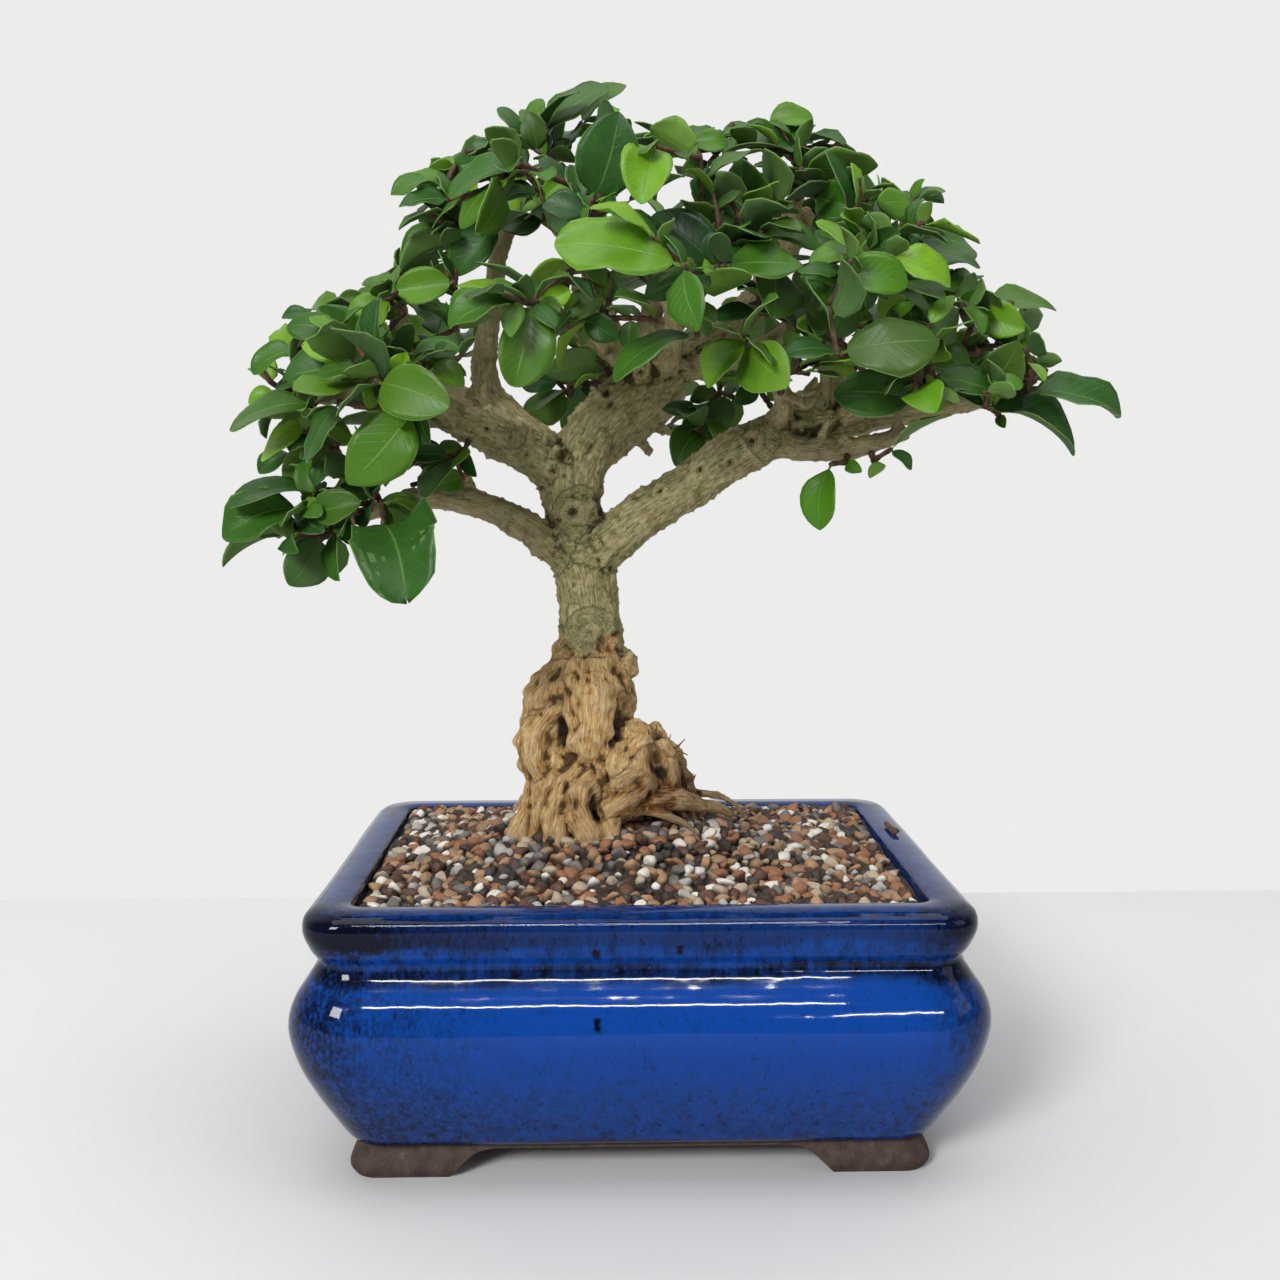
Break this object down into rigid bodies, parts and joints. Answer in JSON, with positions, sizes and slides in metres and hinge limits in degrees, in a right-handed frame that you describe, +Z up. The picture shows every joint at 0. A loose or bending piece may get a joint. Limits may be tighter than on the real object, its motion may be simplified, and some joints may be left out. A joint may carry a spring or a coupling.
{
  "type": "chinese privet bonsai",
  "caption": "Small privet bonsai with a bulging root base, spreading branches and glossy leaves, in a glazed rectangular pot with grit.",
  "frame": {"origin": "on the ground under the middle of the whole bonsai's box", "axes": "+Z up, +Y away from the viewer of the picture, +X to the viewer's right"},
  "size_m": [0.2704, 0.1866, 0.3255],
  "materials": {
    "pot": "glossy cobalt blue glaze, unglazed brown clay feet",
    "wood": "grey green bark above, tan fibrous roots below",
    "leaf": "waxy green leaf, paler beneath",
    "grit": "matt mixed gravel",
    "soil": "dark loose soil",
    "drain_mesh": "matt"
  },
  "bodies": {
    "root": {"drain_mesh_left": "drain_mesh", "drain_mesh_right": "drain_mesh", "grit": "grit", "pot": "pot", "soil": "soil", "spray_01": "leaf", "spray_02": "leaf", "spray_03": "leaf", "spray_04": "leaf", "spray_05": "leaf", "spray_06": "leaf", "spray_07": "leaf", "spray_08": "leaf", "spray_09": "leaf", "spray_10": "leaf", "spray_11": "leaf", "spray_12": "leaf", "spray_13": "leaf", "spray_14": "leaf", "spray_15": "leaf", "spray_16": "leaf", "spray_17": "leaf", "spray_18": "leaf", "spray_19": "leaf", "spray_20": "leaf", "spray_21": "leaf", "spray_22": "leaf", "spray_23": "leaf", "spray_24": "leaf", "spray_25": "leaf", "spray_26": "leaf", "spray_27": "leaf", "spray_28": "leaf", "spray_29": "leaf", "spray_30": "leaf", "spray_31": "leaf", "spray_32": "leaf", "spray_33": "leaf", "spray_34": "leaf", "spray_35": "leaf", "spray_36": "leaf", "spray_37": "leaf", "spray_38": "leaf", "spray_39": "leaf", "spray_40": "leaf", "spray_41": "leaf", "spray_42": "leaf", "spray_43": "leaf", "spray_44": "leaf", "spray_45": "leaf", "spray_46": "leaf", "wood": "wood"}
  },
  "joints": []
}
